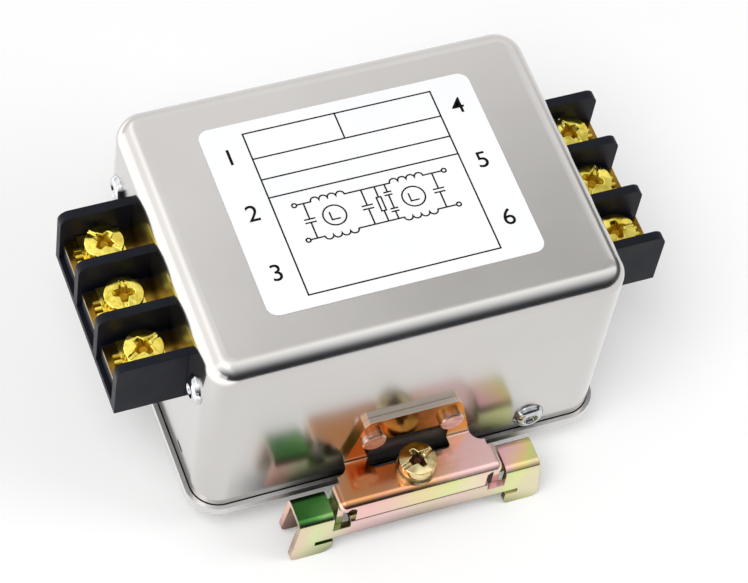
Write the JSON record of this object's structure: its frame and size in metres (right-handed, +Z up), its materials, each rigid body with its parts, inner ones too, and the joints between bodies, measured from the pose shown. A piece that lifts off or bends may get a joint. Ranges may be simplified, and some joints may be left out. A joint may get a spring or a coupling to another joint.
{
  "type": "emi line filter",
  "caption": "Two-stage EMI line filter in a plated drawn can, with a barrier terminal block at each end and a screw-clamped clip for top-hat rail on one long side.",
  "frame": {"origin": "centre of the base cover's underside, under the middle of the can", "axes": "+X along the can from the line terminals to the load terminals, -Y towards the rail clip, +Z up from base cover to label"},
  "size_m": [0.0986, 0.0667, 0.0497],
  "materials": {
    "can_plate": "satin-bright plated drawn steel",
    "cover_plate": "satin-bright plated steel",
    "label_film": "white printed film",
    "block_moulding": "black moulded thermoset",
    "strip_brass": "plain brass strip",
    "clamp_plate_brass": "brass, lightly plated",
    "screw_gold_zinc": "yellow passivated",
    "rivet_aluminium": "plain",
    "clip_chromated_zinc": "iridescent yellow chromated zinc plating",
    "channel_chromated_zinc": "iridescent yellow chromated zinc plating",
    "clip_rivet": "chromated zinc plating",
    "clip_screw": "chromated zinc plating",
    "board_laminate": "glass-epoxy laminate with solder mask",
    "choke_ferrite": "ferrite with epoxy coating",
    "winding_enamel": "enamelled copper wire",
    "x_capacitor_box": "moulded box, resin filled",
    "y_capacitor_lacquer": "lacquered ceramic disc",
    "resistor_body": "lacquered film resistor",
    "earth_insulation": "green and yellow insulation",
    "tag_tin": "tinned brass"
  },
  "bodies": {
    "root": {"drawn_can": "can_plate", "base_cover": "cover_plate", "rating_label": "label_film", "line_terminal_block": "block_moulding", "load_terminal_block": "block_moulding", "line_phase_strip": "strip_brass", "line_earth_strip": "strip_brass", "line_neutral_strip": "strip_brass", "load_phase_strip": "strip_brass", "load_earth_strip": "strip_brass", "load_neutral_strip": "strip_brass", "wire_clamp_plates": "clamp_plate_brass", "terminal_screws": "screw_gold_zinc", "block_rivets": "rivet_aluminium", "rail_saddle": "clip_chromated_zinc", "rail_claw_channel": "channel_chromated_zinc", "saddle_rivets": "clip_rivet", "rail_clamp_screw": "clip_screw", "rail_lock_washer": "clip_screw", "circuit_board": "board_laminate", "line_choke_core": "choke_ferrite", "load_choke_core": "choke_ferrite", "line_choke_phase_winding": "winding_enamel", "line_choke_neutral_winding": "winding_enamel", "load_choke_phase_winding": "winding_enamel", "load_choke_neutral_winding": "winding_enamel", "line_x_capacitor": "x_capacitor_box", "middle_x_capacitor": "x_capacitor_box", "load_x_capacitor": "x_capacitor_box", "phase_y_capacitor": "y_capacitor_lacquer", "neutral_y_capacitor": "y_capacitor_lacquer", "bleed_resistor": "resistor_body", "earth_lead": "earth_insulation", "earth_ring_tag": "tag_tin", "earth_rivet": "rivet_aluminium"}
  },
  "joints": []
}
